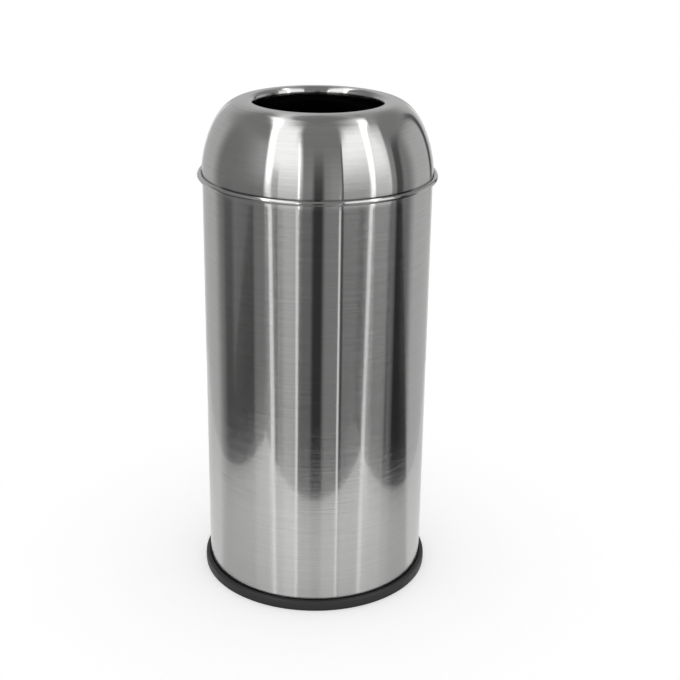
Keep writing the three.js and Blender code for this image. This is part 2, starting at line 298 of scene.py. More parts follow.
def stainless(name, scratch_height, scratch_length, tilt, streak):
    """Stainless steel sheet, polished and then rubbed round the piece with a fine belt. Between the
    scratches it mirrors sharply. The scratches run round it and tilt the surface only up and down, so that
    they draw a reflection out along the piece: tilt x (noise - 0.5) where that is more than the share left
    polished. The eye sees sharp upright bands of light with soft ends, and a faint level grain."""
    material, tree = new_material(name)
    place = add_node(tree, "ShaderNodeTexCoord").outputs["Object"]
    flat = add_node(tree, "ShaderNodeSeparateXYZ", {0: place}).outputs
    uv = add_node(tree, "ShaderNodeUVMap", uv_map="sheet").outputs[0]
    along = add_node(tree, "ShaderNodeSeparateXYZ", {0: uv}).outputs["Y"]
    # single scratches, and the broad bands in which they lie denser, which are drawn coarser than real ones
    # so that they show in the picture
    lines = []
    for height, length in ((scratch_height, scratch_length), (SCRATCH_BAND, 2 * scratch_length)):
        x = add_node(tree, "ShaderNodeMath", {0: flat["X"], 1: 1 / length}, operation="MULTIPLY")
        y = add_node(tree, "ShaderNodeMath", {0: flat["Y"], 1: 1 / length}, operation="MULTIPLY")
        v = add_node(tree, "ShaderNodeMath", {0: along, 1: 1 / height}, operation="MULTIPLY")
        spot = add_node(tree, "ShaderNodeCombineXYZ", {
            "X": x.outputs[0], "Y": y.outputs[0], "Z": v.outputs[0],
        })
        noise = add_node(tree, "ShaderNodeTexNoise", {"Vector": spot.outputs[0], "Scale": 1, "Detail": 2})
        lines.append(noise.outputs["Fac"])
    fine, broad = lines
    wave = add_node(tree, "ShaderNodeMath", {0: fine, 1: 0.5}, operation="SUBTRACT").outputs[0]
    kept = {"Value": wave, "Min": -POLISHED, "Max": POLISHED}
    polished = add_node(tree, "ShaderNodeClamp", kept).outputs[0]
    cut = add_node(tree, "ShaderNodeMath", {0: wave, 1: polished}, operation="SUBTRACT").outputs[0]
    depth = add_node(tree, "ShaderNodeMapRange", {
        "Value": broad, "From Min": NOISE_LOW, "From Max": NOISE_HIGH,
        "To Min": tilt * (1 - streak), "To Max": tilt * (1 + streak),
    })
    slope = add_node(tree, "ShaderNodeMath", {0: cut, 1: depth.outputs[0]}, operation="MULTIPLY").outputs[0]
    facing = add_node(tree, "ShaderNodeNewGeometry").outputs["Normal"]
    round_it = add_node(tree, "ShaderNodeTangent", direction_type="UV_MAP", uv_map="sheet").outputs[0]
    upward = add_node(tree, "ShaderNodeVectorMath", {0: facing, 1: round_it}, operation="CROSS_PRODUCT")
    scratched = {0: upward.outputs[0], "Scale": slope}
    tipped = add_node(tree, "ShaderNodeVectorMath", scratched, operation="SCALE")
    normal = add_node(tree, "ShaderNodeVectorMath", {0: facing, 1: tipped.outputs[0]}, operation="ADD")
    normal = add_node(tree, "ShaderNodeVectorMath", {0: normal.outputs[0]}, operation="NORMALIZE")
    shade = add_node(tree, "ShaderNodeMix", {
        "Factor": broad, "A": linear("#BFBFBE"), "B": linear("#CFCFCE"),
    }, data_type="RGBA")
    shader = add_node(tree, "ShaderNodeBsdfPrincipled", {
        "Base Color": shade.outputs["Result"],
        "Metallic": 1,
        "Roughness": 0.06,
        "Anisotropic": 0.9,
        "Anisotropic Rotation": 0.25,
        "Tangent": round_it,
        "Normal": normal.outputs[0],
    })
    output(tree, shader)
    return material


def zinc_plate():
    """Steel with a bright zinc plate from a bath, slightly cloudy. The eye sees a dull bluish grey metal,
    with patches of about 8 mm that shine a little differently."""
    material, tree = new_material("zinc_plated_steel")
    place = add_node(tree, "ShaderNodeTexCoord").outputs["Object"]
    cloud = add_node(tree, "ShaderNodeTexNoise", {"Vector": place, "Scale": 1 / ZINC_CLOUD, "Detail": 4})
    shade = add_node(tree, "ShaderNodeMix", {
        "Factor": cloud.outputs["Fac"], "A": linear("#9EA1A3"), "B": linear("#BFC2C3"),
    }, data_type="RGBA")
    gloss = add_node(tree, "ShaderNodeMapRange", {
        "Value": cloud.outputs["Fac"], "From Min": NOISE_LOW, "From Max": NOISE_HIGH,
        "To Min": 0.3, "To Max": 0.42,
    })
    shader = add_node(tree, "ShaderNodeBsdfPrincipled", {
        "Base Color": shade.outputs["Result"], "Metallic": 1, "Roughness": gloss.outputs[0],
    })
    output(tree, shader)
    return material


def moulded_black(name, colour, worn_colour, roughness, grain_size, depth):
    """Black rubber, plastic or powder coat. The eye sees a soft highlight, a fine even texture from its
    mould or oven, and a faint grey bloom in patches."""
    material, tree = new_material(name)
    place = add_node(tree, "ShaderNodeTexCoord").outputs["Object"]
    bloom = add_node(tree, "ShaderNodeTexNoise", {"Vector": place, "Scale": 1 / BLOOM, "Detail": 5})
    grain = add_node(tree, "ShaderNodeTexNoise", {"Vector": place, "Scale": 1 / grain_size, "Detail": 2})
    shade = add_node(tree, "ShaderNodeMix", {
        "Factor": bloom.outputs["Fac"], "A": linear(colour), "B": linear(worn_colour),
    }, data_type="RGBA")
    gloss = add_node(tree, "ShaderNodeMapRange", {
        "Value": bloom.outputs["Fac"], "From Min": NOISE_LOW, "From Max": NOISE_HIGH,
        "To Min": roughness * 0.92, "To Max": roughness * 1.08,
    })
    relief = add_node(tree, "ShaderNodeBump", {
        "Height": grain.outputs["Fac"], "Strength": 0.5, "Distance": depth,
    })
    shader = add_node(tree, "ShaderNodeBsdfPrincipled", {
        "Base Color": shade.outputs["Result"],
        "Roughness": gloss.outputs[0],
        "Normal": relief.outputs[0],
    })
    output(tree, shader)
    return material


# scratches 0.02 mm apart, 60 mm long on the flat rolled sheet, and shorter and deeper on the dome, which was
# rubbed while it turned on the lathe
tube_steel = stainless("brushed_stainless_tube", 0.02 * MM, 60 * MM, 1.1, 0.06)
dome_steel = stainless("spun_stainless_dome", 0.02 * MM, 45 * MM, 1.4, 0.25)
zinc = zinc_plate()
# the foot ring, moulded in a blasted mould: greyer and duller than the rest. Its grain of 0.1 mm is too fine
# to show, and is drawn at 0.7 mm
rubber = moulded_black("satin_black_rubber", "#252526", "#303031", 0.5, 0.7 * MM, 0.05 * MM)
# powder melted in an oven: a deep black with a soft shine and a 1.1 mm orange peel
coating = moulded_black("black_powder_coat", "#111213", "#17181A", 0.42, 1.1 * MM, 0.04 * MM)
# the grip, moulded in a sparked mould: black and even. Its grain of 0.1 mm is drawn at 0.6 mm
plastic = moulded_black("moulded_black_plastic", "#141516", "#1B1C1D", 0.48, 0.6 * MM, 0.04 * MM)

# ---- tube, pan and base ring --------------------------------------------------------------------------


def make_tube():
    """The tube's sheet goes straight up and folds over inwards, with a closed seam at the back."""
    middle = TUBE_RADIUS - TUBE_SHEET / 2
    fold_height = TUBE_TOP - HEM_FOLD - TUBE_SHEET / 2
    path = np.concatenate([
        line([middle, tube_low.z], [middle, fold_height], 40),
        arc(middle - HEM_FOLD, fold_height, HEM_FOLD, 0, 180, 10),
        line([middle - 2 * HEM_FOLD, fold_height], [middle - 2 * HEM_FOLD, TUBE_TOP - HEM_DEPTH], 2),
    ])
    mesh = turned("tube", sheet(path, TUBE_SHEET), seam_turns(), seam_groove)
    finished("tube", mesh, tube_steel, "shell", "body_shell")


def make_pan():
    """The pressed floor of the tube, turned from its middle line: a flat raised middle, a sloped step, a
    flat rim and a flange turned down."""
    rim = pan_low.z + PAN_FLANGE - PAN_SHEET / 2
    flange = pan_high.x - PAN_SHEET / 2
    step = liner_low_radius() - PAN_STEP_INSET
    path = np.concatenate([
        line([0, rim + PAN_STEP_RISE], [step - PAN_STEP_RUN, rim + PAN_STEP_RISE], 12),
        line([step, rim], [flange - PAN_CORNER, rim], 6),
        arc(flange - PAN_CORNER, rim - PAN_CORNER, PAN_CORNER, 90, 0, 8),
        line([flange, rim - PAN_CORNER], [flange, pan_low.z], 2),
    ])
    finished("pan", turned("pan", sheet(path, PAN_SHEET)), zinc, "shell", "bottom_pan")


def make_base_ring():
    """The moulded ring: a channel for the tube. Its outer face is slightly full: r = outer - fullness
    (2 t - 1)^2, for t from 0 at its foot to 1 at its shoulder."""
    outer = ring_high.x
    edge = outer - RING_FULLNESS
    top = ring_high.z
    slot_outer = TUBE_RADIUS + GAP
    slot_inner = pan_high.x - PAN_SHEET - GAP
    inner = slot_inner - RING_INNER_LEG
    side = line([outer, RING_FOOT], [outer, top - RING_SHOULDER], 16)
    side[:, 0] -= RING_FULLNESS * (2 * np.linspace(0, 1, len(side)) - 1) ** 2
    outline = np.concatenate([
        [[inner, 0]],
        line([slot_inner, 0], [edge - RING_FOOT, 0], 4),
        arc(edge - RING_FOOT, RING_FOOT, RING_FOOT, -90, 0, 6),
        side,
        arc(edge - RING_SHOULDER, top - RING_SHOULDER, RING_SHOULDER, 0, 90, 12),
        arc(slot_outer + RING_GROOVE, top - RING_GROOVE, RING_GROOVE, 90, 180, 6),
        [[slot_outer, RING_WEB], [slot_inner, RING_WEB]],
        arc(slot_inner - RING_CORNER, RING_INNER_HEIGHT - RING_CORNER, RING_CORNER, 0, 90, 4),
        arc(inner + RING_CORNER, RING_INNER_HEIGHT - RING_CORNER, RING_CORNER, 90, 180, 4),
    ])
    mesh = turned("foot_ring", without_repeats(outline))
    finished("foot_ring", mesh, rubber, "shell", "base_ring")


# ---- lid ----------------------------------------------------------------------------------------------


def make_dome():
    """The spun lid: a rolled bead, a rounded dome, a folded crest and a throat with a curled safe edge.
    The dome is r = crest + (skirt - crest) cos(t)^(2/fullness), z = foot + rise sin(t)^(2/shoulder)."""
    skirt = TUBE_RADIUS + SLIP + DOME_SHEET / 2
    throat = OPENING_RADIUS + DOME_SHEET / 2
    crest = throat + CREST_FOLD
    crest_height = dome_high.z - DOME_SHEET / 2
    foot = TUBE_TOP + DOME_STAND
    fold_end = crest_height - CREST_FOLD
    curl = (dome_high.x - skirt - DOME_SHEET / 2) / 2
    bead_height = dome_low.z + curl + DOME_SHEET / 2
    # steps even in length, since the powers crowd the points at both ends
    t = np.linspace(0, np.pi / 2, DOME_POINTS)
    crowded = np.stack([
        crest + (skirt - crest) * np.cos(t) ** (2 / DOME_FULLNESS),
        foot + (crest_height - foot) * np.sin(t) ** (2 / DOME_SHOULDER),
    ], axis=1)
    length = np.concatenate([[0], np.cumsum(np.linalg.norm(np.diff(crowded, axis=0), axis=1))])
    even = np.linspace(0, length[-1], DOME_POINTS)
    dome = np.stack([np.interp(even, length, crowded[:, i]) for i in (0, 1)], axis=1)
    path = np.concatenate([
        arc(skirt + curl, bead_height, curl, 180 + BEAD_TURN, 180, 36),
        line([skirt, bead_height], [skirt, foot], 3),
        dome,
        arc(crest, fold_end, CREST_FOLD, 90, 180, 18),
        line([throat, fold_end], [throat, fold_end - THROAT_STRAIGHT], 2),
        arc(throat + THROAT_CURL, fold_end - THROAT_STRAIGHT, THROAT_CURL, 180, 180 + THROAT_TURN, 18),
    ])
    finished("dome", turned("dome", sheet(path, DOME_SHEET)), dome_steel, "lid", "dome_cover")


def make_collar():
    """The Z-section ring inside the dome: a leg along the dome, a web on the tube's edge and a plug inside
    it. Each spot weld is a dimple in the leg: depth exp(-(distance / radius)^2)."""
    web = TUBE_TOP + GAP + COLLAR_SHEET / 2
    plug = HEM_BORE - SLIP - COLLAR_SHEET / 2
    weld = collar_high.x - COLLAR_SHEET / 2
    path = np.concatenate([
        line([weld, collar_high.z], [weld, web + COLLAR_BEND], 3),
        arc(weld - COLLAR_BEND, web + COLLAR_BEND, COLLAR_BEND, 0, -90, 5),
        arc(plug + COLLAR_BEND, web - COLLAR_BEND, COLLAR_BEND, 90, 180, 5),
        line([plug, web - COLLAR_BEND], [plug, collar_low.z + COLLAR_LEAD_IN], 4),
        line([plug, collar_low.z + COLLAR_LEAD_IN], [plug - COLLAR_LEAD_STEP, collar_low.z], 3),
    ])
    weld_height = (web + collar_high.z) / 2

    def weld_dimples(radius, height, turn):
        from_weld = (turn * WELDS / (2 * np.pi) + 0.5) % 1 - 0.5
        round_it = from_weld * 2 * np.pi / WELDS * radius
        return WELD_DEPTH * np.exp(-(round_it ** 2 + (height - weld_height) ** 2) / WELD_RADIUS ** 2)

    turns = np.linspace(0, 2 * np.pi, 3 * COLUMNS + 1)
    mesh = turned("collar", sheet(path, COLLAR_SHEET), turns, weld_dimples)
    finished("collar", mesh, zinc, "lid", "locating_collar")


# ---- pail ---------------------------------------------------------------------------------------------


RIM_CENTRE = [rim_high.x - RIM_WIRE_RADIUS, rim_high.z - RIM_WIRE_RADIUS]
RIM_CURL = RIM_WIRE_RADIUS + GAP + PAIL_SHEET / 2  # middle radius of the sheet round the wire


def liner_low_radius():
    """Middle radius of the pail's wall at its foot."""
    return RIM_CENTRE[0] - RIM_CURL - PAIL_TAPER


def make_pail():
    """The pail's tapered wall with two pressed ribs, rolled round the rim wire at the top, its recessed
    bottom and the wire: r = straight taper - rib depth exp(-(height from the rib / rib half height)^2)."""
    radius, height = RIM_CENTRE
    ribs = [liner_low.z + share * (height - liner_low.z) for share in RIB_PLACES]
    near_rib = np.linspace(-3, 3, 19) * RIB_HALF_HEIGHT
    heights = np.concatenate([np.linspace(liner_low.z, height, 49)] + [rib + near_rib for rib in ribs])
    heights = np.unique(heights)
    reach = np.interp(heights, [liner_low.z, height], [liner_low_radius(), radius - RIM_CURL])
    for rib in ribs:
        reach -= RIB_DEPTH * np.exp(-((heights - rib) / RIB_HALF_HEIGHT) ** 2)
    wall = np.stack([reach, heights], axis=1)
    path = np.concatenate([wall, arc(radius, height, RIM_CURL, 180, 180 - RIM_TURN, 24)])
    mesh = turned("pail", sheet(path, PAIL_SHEET), seam_turns(), seam_groove)
    finished("pail", mesh, coating, "liner", "liner_wall")

    flange = floor_high.x - PAIL_SHEET / 2
    top = floor_high.z - PAIL_SHEET / 2
    path = np.concatenate([
        line([0, top], [flange - PAIL_CORNER, top], 16),
        arc(flange - PAIL_CORNER, top - PAIL_CORNER, PAIL_CORNER, 90, 0, 8),
        line([flange, top - PAIL_CORNER], [flange, floor_low.z], 2),
    ])
    mesh = turned("pail_bottom", sheet(path, PAIL_SHEET))
    finished("pail_bottom", mesh, coating, "liner", "liner_bottom")

    wire = arc(radius, height, RIM_WIRE_RADIUS, 0, 360, 16)[:-1]
    finished("rim_wire", turned("rim_wire", wire), zinc, "liner", "liner_rim_wire")


# ---- ears and rivets ----------------------------------------------------------------------------------


def make_ear(name, node, side):
    """A flat stamped ear. Each edge is a half round, offset = edge (cos(q) - 1) and x = edge sin(q) beyond
    the flat part, carried round the outline and round the holes, and the faces between them are flat."""
    pivot = (bail_low.z + bail_high.z) / 2
    foot = ear_low.z
    half = ear_high.y
    shoulder = rivet_high.z
    rivet_y, rivet_z = (rivet_low.y + rivet_high.y) / 2, (rivet_low.z + rivet_high.z) / 2
    outer = np.concatenate([
        arc(half - EAR_CORNER, foot + EAR_CORNER, EAR_CORNER, -90, 0, 8),
        line([half, foot + EAR_CORNER], [half, shoulder], 8),
        arc(0, pivot, EAR_HEAD_RADIUS, 0, 180, 40),
        line([-half, shoulder], [-half, foot + EAR_CORNER], 8),
        arc(-half + EAR_CORNER, foot + EAR_CORNER, EAR_CORNER, 180, 270, 8),
    ])
    loops = [without_repeats(outer), arc(0, pivot, EAR_HOLE, 360, 0, 32)[:-1]]
    loops += [arc(y, rivet_z, RIVET_HOLE, 360, 0, 24)[:-1] for y in (rivet_y, -rivet_y)]
    flat = (ear_high.x - ear_low.x) / 2 - EAR_EDGE
    q = np.radians([-90, -60, -30, 0, 0, 30, 60, 90])[:, None]
    last = len(q) - 1
    past = flat * np.sign(np.arange(len(q)) - last / 2)[:, None] + EAR_EDGE * np.sin(q)
    vertices, faces, rims = [], [], ([], [])
    for loop in loops:
        along = np.roll(loop, -1, axis=0) - np.roll(loop, 1, axis=0)
        along /= np.linalg.norm(along, axis=1)[:, None]
        outward = np.stack([along[:, 1], -along[:, 0]], axis=1)
        y, z = [loop[:, i] + EAR_EDGE * (np.cos(q) - 1) * outward[:, i] for i in (0, 1)]
        x = side * (np.broadcast_to(past, y.shape) + (ear_high.x + ear_low.x) / 2)
        start, count = sum(len(v) for v in vertices), len(loop)
        vertices.append(np.stack([x, y, z], axis=-1).reshape(-1, 3))
        row, j = np.arange(last)[:, None] * count, np.arange(count)[None, :]
        next_j = (j + 1) % count
        corners = [row + j, row + count + j, row + count + next_j, row + next_j]
        faces.append(start + np.stack(corners, axis=-1).reshape(-1, 4))
        for rim, end in zip(rims, (0, last)):
            rim.append(start + end * count + np.arange(count))
    vertices = np.concatenate(vertices)
    quads = np.concatenate(faces).tolist()
    triangles = []
    for rim in rims:
        places = tessellate_polygon([[Vector(v) for v in vertices[loop]] for loop in rim])
        triangles += np.concatenate(rim)[np.array(places)].tolist()
    mesh = bpy.data.meshes.new(name)
    mesh.from_pydata(vertices.tolist(), [], quads + triangles)
    work = bmesh.new()
    work.from_mesh(mesh)
    bmesh.ops.recalc_face_normals(work, faces=work.faces)
    work.to_mesh(mesh)
    work.free()
    mesh.polygons.foreach_set("use_smooth", np.ones(len(mesh.polygons), dtype=bool))
    finished(name, mesh, coating, "liner", node)


def make_rivet(name, node, side):
    """A rivet along X: its shank, and two domed heads, r = head radius cos(a) and height = head height
    sin(a)."""
    low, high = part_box(node)
    inner = rivet_low.x + RIVET_HEAD_HEIGHT
    outer = rivet_high.x - RIVET_HEAD_HEIGHT
    a = np.linspace(0, np.pi / 2, 13)
    head = np.stack([(high.z - low.z) / 2 * np.cos(a), RIVET_HEAD_HEIGHT * np.sin(a)], axis=1)
    outline = np.concatenate([
        head[::-1] * [1, -1] + [0, inner],
        [[RIVET_RADIUS, inner], [RIVET_RADIUS, outer]],
        head + [0, outer],
    ])
    mesh = turned(name, outline, np.linspace(0, 2 * np.pi, 41))
    place = Matrix.Translation((0, (low.y + high.y) / 2, (low.z + high.z) / 2))
    mesh.transform(place @ Matrix.Rotation(side * math.pi / 2, 4, "Y"))
    finished(name, mesh, zinc, "liner", node)


# ---- bail and grip ------------------------------------------------------------------------------------

BAIL_WIRE_RADIUS = (bail_high.z - bail_low.z) / 2
BAIL_HEIGHT = (bail_high.z + bail_low.z) / 2
BAIL_REACH = bail_high.y - BAIL_WIRE_RADIUS


def make_bail():
    """The pail's wire bail, lying flat: middle line + radius (cos(a) across + sin(a) up). From the turned
    end inside each ear it goes out through the ear, round a bend and along a quarter of an ellipse to the
    grip."""
    hook = -bail_low.y / 2
    hook_centre = ear_low.x - BAIL_WIRE_RADIUS
    arm = bail_high.x - BAIL_WIRE_RADIUS
    grip_end = grip_high.x + GRIP_END_CLEARANCE
    arm_end = BAIL_BEND + BAIL_STRAIGHT
    sweep = arc(0, 0, 1, 0, 90, 60) * [arm - grip_end, BAIL_REACH - arm_end] + [grip_end, arm_end]
    half = np.concatenate([
        line([hook_centre - hook, -2 * hook], [hook_centre - hook, -hook], 6),
        arc(hook_centre, -hook, hook, 180, 90, 12),
        arc(arm - BAIL_BEND, BAIL_BEND, BAIL_BEND, -90, 0, 16),
        sweep,
    ])
    path = without_repeats(np.concatenate([half, half[::-1] * [-1, 1]]))
    along = np.gradient(path, axis=0)
    along /= np.linalg.norm(along, axis=1)[:, None]
    across = np.stack([along[:, 1], -along[:, 0]], axis=1)
    # the cut ends, rounded off inside the wire's own length
    end = BAIL_WIRE_RADIUS * (1 - 0.3 * (1 - np.sin(np.radians([0, 30, 60]))))
    middle = np.full(len(path) - 2 * len(end) - 2, BAIL_WIRE_RADIUS)
    radius = np.concatenate([[0], end, middle, end[::-1], [0]])[:, None]
    path[1:4] = path[0] + (path[4] - path[0]) * np.array([[0.0], [0.04], [0.12]])
    path[-4:-1] = path[-1] + (path[-5] - path[-1]) * np.array([[0.12], [0.04], [0.0]])
    a = np.linspace(0, 2 * np.pi, 33)
    x, y = [path[:, i:i + 1] + radius * np.cos(a[:-1]) * across[:, i:i + 1] for i in (0, 1)]
    z = BAIL_HEIGHT + radius * np.sin(a[:-1])
    lengths = np.concatenate([[0], np.cumsum(np.linalg.norm(np.diff(path, axis=0), axis=1))])
    points = np.stack([x, y, z], axis=-1)
    mesh = merged(grid_mesh("bail", points, lengths, a / (2 * np.pi), False, True))
    finished("bail", mesh, zinc, "bail", "bail_wire")


def make_grip():
    """The moulded grip, turned about X: r = radius - wave depth (1 + cos(2 pi waves s)) / 2, for s from 0
    to 1 along it, less a quarter round at each end, less flutes of flute depth sin(flutes turn / 2)^2 that
    fade out towards the ends."""
    half = grip_high.x
    radius = (grip_high.z - grip_low.z) / 2
    bore = BAIL_WIRE_RADIUS + GRIP_BORE_CLEARANCE
    near_end = GRIP_EDGE * (1 - np.cos(np.linspace(0, np.pi / 2, 9)))
    place = np.concatenate([near_end, np.linspace(GRIP_EDGE, 2 * half - GRIP_EDGE, 129)[1:-1],
                            2 * half - near_end[::-1]])
    wave = GRIP_WAVE_DEPTH * (1 + np.cos(np.pi * GRIP_WAVES * place / half)) / 2
    to_end = np.minimum(place, 2 * half - place)
    drop = GRIP_EDGE - np.sqrt(GRIP_EDGE ** 2 - np.clip(GRIP_EDGE - to_end, 0, None) ** 2)
    outer = np.stack([radius - wave - drop, place - half], axis=1)
    outline = np.concatenate([outer, line([bore, half], [bore, -half], 4)])

    def flutes(r, height, turn):
        fade = np.clip((half - 3 * GRIP_EDGE - np.abs(height)) / (2 * GRIP_EDGE), 0, 1)
        depth = GRIP_FLUTE_DEPTH * fade * np.sin(GRIP_FLUTES * turn / 2) ** 2
        return np.where(r > bore + GRIP_EDGE, depth, 0)

    mesh = turned("grip", outline, inset=flutes)
    place = Matrix.Translation((0, BAIL_REACH, BAIL_HEIGHT))
    mesh.transform(place @ Matrix.Rotation(math.pi / 2, 4, "Y"))
    finished("grip", mesh, plastic, "bail", "handle_grip")


make_tube()
make_pan()
make_base_ring()
make_dome()
make_collar()
make_pail()

for side_name, side in (("right", 1), ("left", -1)):
    make_ear(side_name + "_ear", "ear_" + side_name, side)
    for end_name in ("front", "rear"):
        make_rivet(f"{side_name}_{end_name}_rivet", f"ear_rivet_{side_name}_{end_name}", side)
make_bail()
make_grip()

# ---- floor, light and camera --------------------------------------------------------------------------

# The metal mirrors a studio that the world paints as cards of light round the bin. A direction is its
# azimuth in degrees, 0 towards the camera and 90 towards +X, and its elevation, and a level of 1 is white.
TUBE_LAMP, DOME_LAMP = 1.3, 3  # levels of the strip lamps, low down where the tube mirrors them, and above
CAMERA_GAP = 0.16  # level of the dark room round the camera
BEHIND = 150  # degrees of azimuth to each side, past which the back wall begins
ALL_ROUND = 400  # degrees, past any azimuth or elevation
PLAIN_LIGHT = 0.8  # level of the light on matt surfaces
CAMERA_LIFT = 0.36  # light added to the floor for the camera, so that its paper shows white
GLAZE = 0.5  # share of the floor's mirroring, as the metal sees it

CAMERA_PLACE = (0, -1.730, 0.994)
CAMERA_YAW, CAMERA_PITCH, CAMERA_ROLL = 0.0186, 0.3655, 0.0143  # radians
CAMERA_LENS, CAMERA_SENSOR = 71.684, 36  # millimetres


def laid(tree, under, rise, fall, soft, level):
    """Lays a card over what is behind it. Each edge is a coordinate and the place where the card starts or
    ends, and the level goes over smoothly across the edge's width: under + (level - under) x rise x (1 -
    fall)."""
    shares = []
    for (value, place), ends in ((rise, (0, 1)), (fall, (1, 0))):
        shares.append(add_node(tree, "ShaderNodeMapRange", {
            "Value": value, "From Min": place - soft / 2, "From Max": place + soft / 2,
            "To Min": ends[0], "To Max": ends[1],
        }, interpolation_type="SMOOTHSTEP").outputs[0])
    share = add_node(tree, "ShaderNodeMath", {0: shares[0], 1: shares[1]}, operation="MULTIPLY")
    mixed = {"Factor": share.outputs[0], "A": under, "B": level}
    return add_node(tree, "ShaderNodeMix", mixed, data_type="FLOAT").outputs["Result"]


def arch(tree, azimuth, elevation, centre, half_width, height, power):
    """How far out a direction lies in an arch of light: |(azimuth - centre) / half width|^power +
    (elevation / height)^power, which is 1 on the arch itself. Below the horizon its legs go straight
    down."""
    side = add_node(tree, "ShaderNodeMath", {0: azimuth, 1: -centre}, operation="ADD")
    side = add_node(tree, "ShaderNodeMath", {0: side.outputs[0]}, operation="ABSOLUTE")
    side = add_node(tree, "ShaderNodeMath", {0: side.outputs[0], 1: half_width}, operation="DIVIDE")
    rise = add_node(tree, "ShaderNodeMath", {0: elevation, 1: 0}, operation="MAXIMUM")
    rise = add_node(tree, "ShaderNodeMath", {0: rise.outputs[0], 1: height}, operation="DIVIDE")
    out, up = [
        add_node(tree, "ShaderNodeMath", {0: share.outputs[0], 1: power}, operation="POWER").outputs[0]
        for share in (side, rise)
    ]
    return add_node(tree, "ShaderNodeMath", {0: out, 1: up}, operation="ADD").outputs[0]


def leaning(tree, azimuth, elevation, lean):
    """Azimuth at which a leaning edge would meet an elevation of -16 degrees: azimuth - lean x (elevation +
    16)."""
    drop = add_node(tree, "ShaderNodeMath", {0: elevation, 1: 16}, operation="ADD").outputs[0]
    moved = {0: drop, 1: -lean, 2: azimuth}
    return add_node(tree, "ShaderNodeMath", moved, operation="MULTIPLY_ADD").outputs[0]


def low_studio(tree, azimuth, elevation):
    """What the tube mirrors, below the horizon: white paper behind, a grey room, a strip lamp on each side,
    and between them grey cards with a bright edge and the dark gap where the camera stands."""
    left_lamp = leaning(tree, azimuth, elevation, -0.23)
    right_lamp = leaning(tree, azimuth, elevation, 0.37)
    left_wedge = leaning(tree, azimuth, elevation, 3.3)
    right_wedge = leaning(tree, azimuth, elevation, -1.9)
    level = 0.56  # white paper
    for starts, ends, edge, brightness in (
        ((azimuth, -118), (azimuth, 108), 16, 0.24),  # the grey room in front of the paper
        ((azimuth, -107), (azimuth, -93), 8, 0.11),  # its dark corner on the left
        ((left_wedge, -73), (azimuth, -66), 4, 0.08),  # a dark wedge
        ((left_lamp, -49.2), (left_lamp, -45.3), 0.8, TUBE_LAMP),  # the left lamp
        ((left_lamp, -45), (azimuth, -39.6), 1, 0.13),  # its stand
        ((azimuth, -39.6), (azimuth, -20), 3, 0.36),  # the left card
        ((azimuth, -34), (azimuth, -20), 6, 0.54),  # its lighter half
        ((azimuth, -21.3), (azimuth, -18.8), 0.7, 1),  # its bright edge
        ((azimuth, -18.6), (azimuth, 21.2), 0.7, CAMERA_GAP),  # the room round the camera
        ((azimuth, -5.5), (azimuth, 5.5), 5, 0.04),  # the camera itself
        ((azimuth, 7), (azimuth, 21.2), 5, 0.26),  # a lighter stretch beside it
        ((azimuth, 21.2), (azimuth, 23.1), 0.7, 1.05),  # the bright edge of the right card
        ((azimuth, 23.3), (azimuth, 26.2), 0.8, 0.09),  # the shade behind that edge
        ((azimuth, 26.4), (azimuth, 51), 1, 0.23),  # the right card
        ((azimuth, 42), (azimuth, 51), 8, 0.1),  # its darker side
        ((right_lamp, 51.8), (right_lamp, 55.6), 0.8, TUBE_LAMP),  # the right lamp
        ((right_lamp, 56), (azimuth, 75), 1.5, 0.3),  # the wall beside it
        ((azimuth, 75), (azimuth, 84), 2, 0.12),  # a dark stretch
        ((azimuth, 79), (azimuth, 82.5), 1, 0.2),  # a lighter line in it
        ((azimuth, 84.5), (right_wedge, 94), 3, 0.03),  # a black wedge
    ):
        level = laid(tree, level, starts, ends, edge, brightness)
    return level


